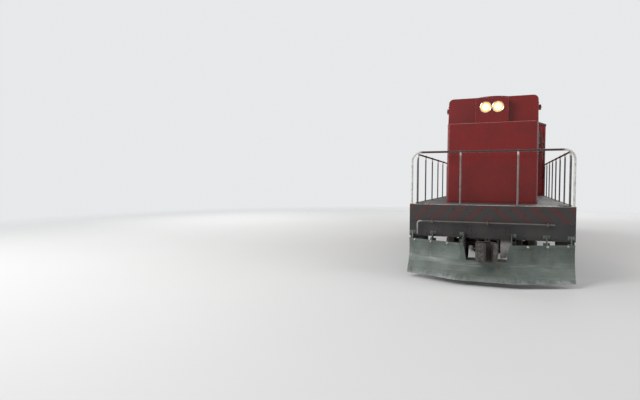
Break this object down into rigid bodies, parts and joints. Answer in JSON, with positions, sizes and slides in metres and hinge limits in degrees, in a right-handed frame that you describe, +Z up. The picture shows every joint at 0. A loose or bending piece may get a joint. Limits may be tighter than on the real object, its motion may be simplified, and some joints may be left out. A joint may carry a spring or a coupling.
{
  "type": "narrow-gauge diesel locomotive with snow plough",
  "caption": "Red hood-type diesel locomotive on two swivelling trucks, with end platforms, handrails, a twin-lamp headlight, a rear cab and a notched snow plough.",
  "frame": {"origin": "centre of the footprint on the surface under the wheel flanges", "axes": "+Z up, +Y along the locomotive towards the cab end, -Y towards the snow plough, +X to the right as seen from the plough"},
  "size_m": [2.6, 11.71, 3.5848],
  "materials": {
    "frame_black": "satin",
    "deck_plate": "satin",
    "plough_steel": "satin",
    "handrail_paint": "gloss",
    "body_red": "gloss",
    "roof_paint": "satin",
    "lamp": "polished",
    "engine_paint": "satin",
    "radiator_metal": "satin",
    "stack_steel": "matte",
    "horn_brass": "satin",
    "window_glass": "polished",
    "stand_paint": "satin",
    "seat_cover": "satin",
    "truck_iron": "matte",
    "wheel_steel": "satin",
    "coupler_iron": "matte"
  },
  "bodies": {
    "root": {"underframe": "frame_black", "side_sills": "frame_black", "deck": "deck_plate", "corner_steps": "frame_black", "front_end_sill": "frame_black", "rear_end_sill": "frame_black", "snow_plough": "plough_steel", "front_handrail": "handrail_paint", "rear_handrail": "handrail_paint", "side_handrails": "handrail_paint", "hood_nose": "body_red", "hood_left_side": "body_red", "hood_right_side": "body_red", "radiator_cores": "radiator_metal", "hood_roof": "body_red", "headlights": "body_red", "headlight_lamps": "lamp", "engine_block": "engine_paint", "exhaust_stack": "stack_steel", "air_horn": "horn_brass", "cab_front_wall": "body_red", "cab_rear_wall": "body_red", "cab_side_walls": "body_red", "cab_roof": "roof_paint", "cab_windows": "window_glass", "control_stand": "stand_paint", "cab_seats": "stand_paint", "seat_cushions": "seat_cover", "fuel_tank": "frame_black", "air_reservoirs": "frame_black", "battery_boxes": "frame_black"},
    "front_truck": {"front_truck_frame": "truck_iron", "front_axle_boxes": "truck_iron", "front_traction_motors": "truck_iron"},
    "rear_truck": {"rear_truck_frame": "truck_iron", "rear_axle_boxes": "truck_iron", "rear_traction_motors": "truck_iron"},
    "wheelset_1": {"wheelset_1": "wheel_steel"},
    "wheelset_2": {"wheelset_2": "wheel_steel"},
    "wheelset_3": {"wheelset_3": "wheel_steel"},
    "wheelset_4": {"wheelset_4": "wheel_steel"},
    "hood_door_left_1": {"hood_door_left_1": "body_red"},
    "hood_door_left_2": {"hood_door_left_2": "body_red"},
    "hood_door_left_3": {"hood_door_left_3": "body_red"},
    "hood_door_left_4": {"hood_door_left_4": "body_red"},
    "hood_door_right_1": {"hood_door_right_1": "body_red"},
    "hood_door_right_2": {"hood_door_right_2": "body_red"},
    "hood_door_right_3": {"hood_door_right_3": "body_red"},
    "hood_door_right_4": {"hood_door_right_4": "body_red"},
    "cab_front_door": {"cab_front_door": "body_red"},
    "cab_rear_door": {"cab_rear_door": "body_red"},
    "front_coupler": {"front_coupler": "coupler_iron"},
    "front_knuckle": {"front_knuckle": "coupler_iron"},
    "rear_coupler": {"rear_coupler": "coupler_iron"},
    "rear_knuckle": {"rear_knuckle": "coupler_iron"},
    "radiator_fan": {"radiator_fan": "stack_steel"}
  },
  "joints": [
    {"name": "front_truck_swivel", "type": "hinge", "parent": "root", "child": "front_truck", "pos_m": [0, -2.65, 0.93], "axis": [0, 0, 1], "range_deg": [-5, 5]},
    {"name": "rear_truck_swivel", "type": "hinge", "parent": "root", "child": "rear_truck", "pos_m": [0, 2.65, 0.93], "axis": [0, 0, 1], "range_deg": [-5, 5]},
    {"name": "wheelset_1_spin", "type": "hinge", "parent": "front_truck", "child": "wheelset_1", "pos_m": [0, -3.65, 0.444], "axis": [1, 0, 0], "continuous": true},
    {"name": "wheelset_2_spin", "type": "hinge", "parent": "front_truck", "child": "wheelset_2", "pos_m": [0, -1.65, 0.444], "axis": [1, 0, 0], "continuous": true},
    {"name": "wheelset_3_spin", "type": "hinge", "parent": "rear_truck", "child": "wheelset_3", "pos_m": [0, 1.65, 0.444], "axis": [1, 0, 0], "continuous": true},
    {"name": "wheelset_4_spin", "type": "hinge", "parent": "rear_truck", "child": "wheelset_4", "pos_m": [0, 3.65, 0.444], "axis": [1, 0, 0], "continuous": true},
    {"name": "hood_door_left_1_hinge", "type": "hinge", "parent": "root", "child": "hood_door_left_1", "pos_m": [-0.8045, -2.777, 2.076], "axis": [0, 0, 1], "range_deg": [0, 95]},
    {"name": "hood_door_left_2_hinge", "type": "hinge", "parent": "root", "child": "hood_door_left_2", "pos_m": [-0.8045, -1.925, 2.076], "axis": [0, 0, -1], "range_deg": [0, 95]},
    {"name": "hood_door_left_3_hinge", "type": "hinge", "parent": "root", "child": "hood_door_left_3", "pos_m": [-0.8045, -1.789, 2.076], "axis": [0, 0, 1], "range_deg": [0, 95]},
    {"name": "hood_door_left_4_hinge", "type": "hinge", "parent": "root", "child": "hood_door_left_4", "pos_m": [-0.8045, -0.937, 2.076], "axis": [0, 0, -1], "range_deg": [0, 95]},
    {"name": "hood_door_right_1_hinge", "type": "hinge", "parent": "root", "child": "hood_door_right_1", "pos_m": [0.8045, -2.777, 2.076], "axis": [0, 0, -1], "range_deg": [0, 95]},
    {"name": "hood_door_right_2_hinge", "type": "hinge", "parent": "root", "child": "hood_door_right_2", "pos_m": [0.8045, -1.925, 2.076], "axis": [0, 0, 1], "range_deg": [0, 95]},
    {"name": "hood_door_right_3_hinge", "type": "hinge", "parent": "root", "child": "hood_door_right_3", "pos_m": [0.8045, -1.789, 2.076], "axis": [0, 0, -1], "range_deg": [0, 95]},
    {"name": "hood_door_right_4_hinge", "type": "hinge", "parent": "root", "child": "hood_door_right_4", "pos_m": [0.8045, -0.937, 2.076], "axis": [0, 0, 1], "range_deg": [0, 95]},
    {"name": "cab_front_door_hinge", "type": "hinge", "parent": "root", "child": "cab_front_door", "pos_m": [0.827, 1.89, 2.2], "axis": [0, 0, -1], "range_deg": [0, 90]},
    {"name": "cab_rear_door_hinge", "type": "hinge", "parent": "root", "child": "cab_rear_door", "pos_m": [-0.303, 4.16, 2.2], "axis": [0, 0, 1], "range_deg": [0, 95]},
    {"name": "front_coupler_swing", "type": "hinge", "parent": "root", "child": "front_coupler", "pos_m": [0, -4.515, 0.545], "axis": [0, 0, 1], "range_deg": [-6, 6]},
    {"name": "front_knuckle_pin", "type": "hinge", "parent": "front_coupler", "child": "front_knuckle", "pos_m": [-0.092, -5.695, 0.545], "axis": [0, 0, -1], "range_deg": [0, 40]},
    {"name": "rear_coupler_swing", "type": "hinge", "parent": "root", "child": "rear_coupler", "pos_m": [0, 4.515, 0.545], "axis": [0, 0, 1], "range_deg": [-6, 6]},
    {"name": "rear_knuckle_pin", "type": "hinge", "parent": "rear_coupler", "child": "rear_knuckle", "pos_m": [0.092, 5.695, 0.545], "axis": [0, 0, -1], "range_deg": [0, 40]},
    {"name": "radiator_fan_spin", "type": "hinge", "parent": "root", "child": "radiator_fan", "pos_m": [0, -3.24, 3.2], "axis": [0, 0, 1], "continuous": true}
  ]
}
